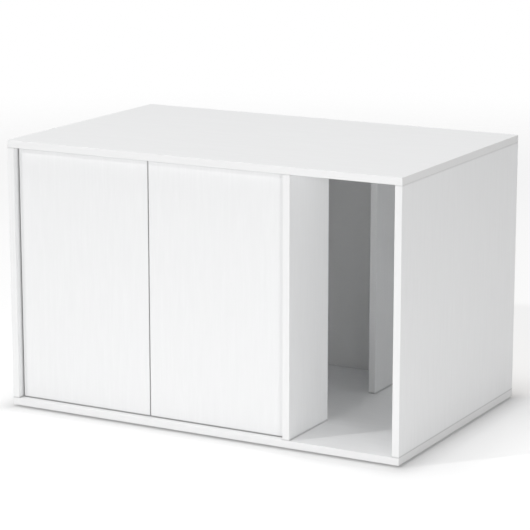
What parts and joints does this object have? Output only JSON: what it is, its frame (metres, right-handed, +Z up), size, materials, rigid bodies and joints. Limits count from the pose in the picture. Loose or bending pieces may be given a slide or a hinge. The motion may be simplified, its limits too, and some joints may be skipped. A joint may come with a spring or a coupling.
{
  "type": "aquarium stand cabinet",
  "caption": "Low white board cabinet with inset handle-less push-open doors, an open bay beside them and a doorway through its divider; its flat top carries a tank.",
  "frame": {"origin": "on the floor, under the middle of the cabinet", "axes": "+X to the right seen from the front, +Y from front to back, +Z up"},
  "size_m": [0.955, 0.6, 0.605],
  "materials": {
    "board": "white melamine, faint wood grain",
    "edge_band": "satin white",
    "hardboard": "white-faced hardboard",
    "beech": "raw beech",
    "screw_steel": "zinc plated",
    "hinge_steel": "nickel plated",
    "cam_zinc": "die-cast zinc",
    "magnet": "nickel plated",
    "glide_plastic": "white nylon",
    "cap_plastic": "satin white",
    "latch_plastic": "satin white"
  },
  "bodies": {
    "cabinet": {"top_panel": "board", "bottom_panel": "board", "left_side_panel": "board", "right_side_panel": "board", "front_divider": "board", "rear_divider": "board", "top_panel_edge_band": "edge_band", "bottom_panel_edge_band": "edge_band", "side_panel_edge_bands": "edge_band", "divider_edge_bands": "edge_band", "back_panel": "hardboard", "back_panel_screws": "screw_steel", "glide_nails": "screw_steel", "mounting_plate_screws": "screw_steel", "hinge_arm_screws": "screw_steel", "latch_housing_screws": "screw_steel", "floor_glides": "glide_plastic", "cam_locks": "cam_zinc", "cam_bolts": "screw_steel", "cam_cover_caps": "cap_plastic", "wooden_dowels": "beech", "hinge_mounting_plates": "hinge_steel", "left_upper_hinge_arm": "hinge_steel", "left_lower_hinge_arm": "hinge_steel", "left_latch_housing": "latch_plastic", "left_latch_spring": "screw_steel", "right_upper_hinge_arm": "hinge_steel", "right_lower_hinge_arm": "hinge_steel", "right_latch_housing": "latch_plastic", "right_latch_spring": "screw_steel"},
    "left_door": {"left_upper_hinge_cup": "hinge_steel", "left_lower_hinge_cup": "hinge_steel", "left_hinge_pins": "hinge_steel", "left_hinge_cup_screws": "screw_steel", "left_strike_screw": "screw_steel", "left_door": "board", "left_door_edge_band": "edge_band", "left_strike_plate": "hinge_steel"},
    "left_latch_plunger": {"left_latch_plunger": "latch_plastic", "left_latch_magnet": "magnet"},
    "right_door": {"right_upper_hinge_cup": "hinge_steel", "right_lower_hinge_cup": "hinge_steel", "right_hinge_pins": "hinge_steel", "right_hinge_cup_screws": "screw_steel", "right_strike_screw": "screw_steel", "right_door": "board", "right_door_edge_band": "edge_band", "right_strike_plate": "hinge_steel"},
    "right_latch_plunger": {"right_latch_plunger": "latch_plastic", "right_latch_magnet": "magnet"}
  },
  "joints": [
    {"name": "left_door_hinge", "type": "hinge", "parent": "cabinet", "child": "left_door", "pos_m": [-0.4475, -0.276, 0.305], "axis": [0, 0, -1], "range_deg": [0, 95]},
    {"name": "right_door_hinge", "type": "hinge", "parent": "cabinet", "child": "right_door", "pos_m": [0.193, -0.276, 0.305], "axis": [0, 0, 1], "range_deg": [0, 95]},
    {"name": "left_latch_slide", "type": "slide", "parent": "cabinet", "child": "left_latch_plunger", "axis": [0, -1, 0], "range_m": [0, 0.02], "deforming": ["left_latch_spring"]},
    {"name": "right_latch_slide", "type": "slide", "parent": "cabinet", "child": "right_latch_plunger", "axis": [0, -1, 0], "range_m": [0, 0.02], "deforming": ["right_latch_spring"]}
  ],
  "couplings": [
    {"joint": "left_latch_slide", "follows": "left_door_hinge", "m_per_rad": 0.012},
    {"joint": "right_latch_slide", "follows": "right_door_hinge", "m_per_rad": 0.012}
  ]
}
